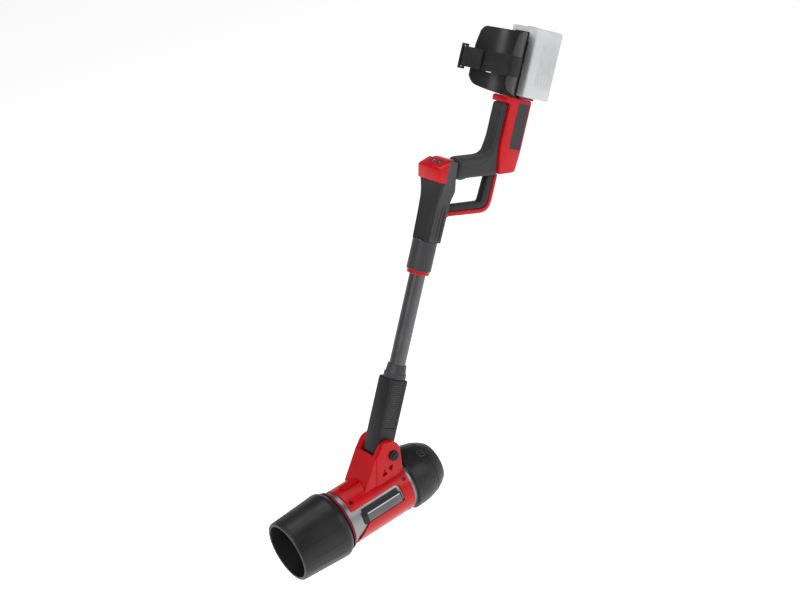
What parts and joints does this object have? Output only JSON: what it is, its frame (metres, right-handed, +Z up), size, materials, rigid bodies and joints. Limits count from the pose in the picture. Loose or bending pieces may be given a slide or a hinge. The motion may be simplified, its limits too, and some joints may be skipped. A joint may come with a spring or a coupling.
{
  "type": "leaf blower",
  "caption": "Long-reach cordless leaf blower: barrel with axial fan and wide nozzle, tilting on a telescopic tube, with a looped hand grip, forearm cuff and slide-on battery.",
  "frame": {"origin": "middle of the hand grip bar", "axes": "+X is the way the air blows, +Y is the tool's left, +Z is up; the fan barrel lies along X and the stick leans back 31.4 degrees"},
  "size_m": [0.8541, 0.1377, 0.8334],
  "materials": {
    "red_gloss": "smooth moulded, slight sheen",
    "dark_red": "satin",
    "black_plastic": "fine grain",
    "soft_grip": "soft-touch overmould",
    "dark_grey_plastic": "fine grain",
    "tube_metal": "grey anodised",
    "duct_metal": "satin",
    "plate": "textured",
    "bright_steel": "bright",
    "dark_steel": "blackened",
    "webbing": "woven",
    "battery_clear": "frosted, pale",
    "battery_inner": "matt",
    "board": "matt",
    "nylon": "natural",
    "cable": "smooth"
  },
  "bodies": {
    "handle": {"clamp_bush": "nylon", "front_shell": "black_plastic", "rear_shell": "dark_grey_plastic", "control_cap": "red_gloss", "controller_board": "board", "hand_grip": "soft_grip", "trigger_pin": "bright_steel", "trigger_switch": "black_plastic", "loop_guard": "black_plastic", "guard_strip": "red_gloss", "arm_housing": "red_gloss", "label_panel_left": "plate", "label_panel_right": "plate", "arm_wiring": "cable", "arm_cuff": "black_plastic", "cuff_screw_lower": "dark_steel", "cuff_screw_upper": "dark_steel", "cuff_strap": "webbing", "cuff_buckle": "black_plastic", "anchor_band": "webbing", "battery_mount": "black_plastic", "battery_seat": "dark_red", "terminal_block": "black_plastic"},
    "stick": {"lower_grip": "black_plastic", "grip_panel_left": "soft_grip", "grip_panel_right": "soft_grip", "telescopic_tube": "tube_metal", "lower_collar": "dark_grey_plastic", "motor_lead": "cable"},
    "twist_lock": {"lock_ring": "red_gloss", "twist_collar": "dark_grey_plastic"},
    "blower_head": {"air_duct": "duct_metal", "nozzle": "black_plastic", "nozzle_seal": "dark_red", "motor_shell": "red_gloss", "shell_screw_1": "dark_steel", "shell_screw_2": "dark_steel", "rating_plate": "plate", "window_frame": "black_plastic", "inlet_ring": "black_plastic", "inlet_housing": "black_plastic", "inlet_grille": "black_plastic", "motor_pod": "dark_grey_plastic", "tail_cone": "dark_grey_plastic", "motor_stator": "dark_steel", "bearing_rear": "bright_steel", "bearing_front": "bright_steel", "tilt_bracket": "red_gloss", "tilt_bolt": "dark_steel", "tilt_nut": "dark_steel"},
    "fan_rotor": {"fan": "dark_grey_plastic", "motor_shaft": "bright_steel", "motor_rotor": "dark_steel"},
    "latch": {"inlet_latch": "dark_grey_plastic"},
    "trigger_lever": {"trigger": "dark_grey_plastic"},
    "power_key": {"power_button": "dark_grey_plastic"},
    "boost_key": {"boost_button": "dark_grey_plastic"},
    "battery": {"battery_case": "battery_clear", "battery_cells": "battery_inner"},
    "battery_catch": {"battery_release": "red_gloss"}
  },
  "joints": [
    {"name": "tube_slide", "type": "slide", "parent": "handle", "child": "stick", "axis": [0.521, 0, -0.8536], "range_m": [0, 0.1]},
    {"name": "collar_twist", "type": "hinge", "parent": "handle", "child": "twist_lock", "pos_m": [0.15204, 0, -0.1272], "axis": [-0.521, 0, 0.8536], "range_deg": [0, 90]},
    {"name": "head_tilt", "type": "hinge", "parent": "stick", "child": "blower_head", "pos_m": [0.34106, 0, -0.45702], "axis": [0, 1, 0], "range_deg": [0, 40]},
    {"name": "fan_spin", "type": "hinge", "parent": "blower_head", "child": "fan_rotor", "pos_m": [0.36156, 0, -0.54452], "axis": [1, 0, 0], "continuous": true},
    {"name": "latch_press", "type": "slide", "parent": "blower_head", "child": "latch", "axis": [0, -0.4695, -0.8829], "range_m": [0, 0.002], "stiffness_N_per_m": 500, "springref_m": -0.001},
    {"name": "trigger_squeeze", "type": "hinge", "parent": "handle", "child": "trigger_lever", "pos_m": [0.02973, 0, 0.00024], "axis": [0, 1, 0], "range_deg": [0, 8], "stiffness_Nm_per_rad": 1, "springref_deg": -5.73},
    {"name": "power_press", "type": "slide", "parent": "handle", "child": "power_key", "axis": [-0.0641, 0, -0.9979], "range_m": [0, 0.0015], "stiffness_N_per_m": 500, "springref_m": -0.001},
    {"name": "boost_press", "type": "slide", "parent": "handle", "child": "boost_key", "axis": [-0.0641, 0, -0.9979], "range_m": [0, 0.0015], "stiffness_N_per_m": 500, "springref_m": -0.001},
    {"name": "battery_slide", "type": "slide", "parent": "handle", "child": "battery", "axis": [-0.521, 0, 0.8536], "range_m": [0, 0.13]},
    {"name": "battery_catch_press", "type": "slide", "parent": "battery", "child": "battery_catch", "axis": [0.521, 0, -0.8536], "range_m": [0, 0.003], "stiffness_N_per_m": 400, "springref_m": -0.002}
  ]
}
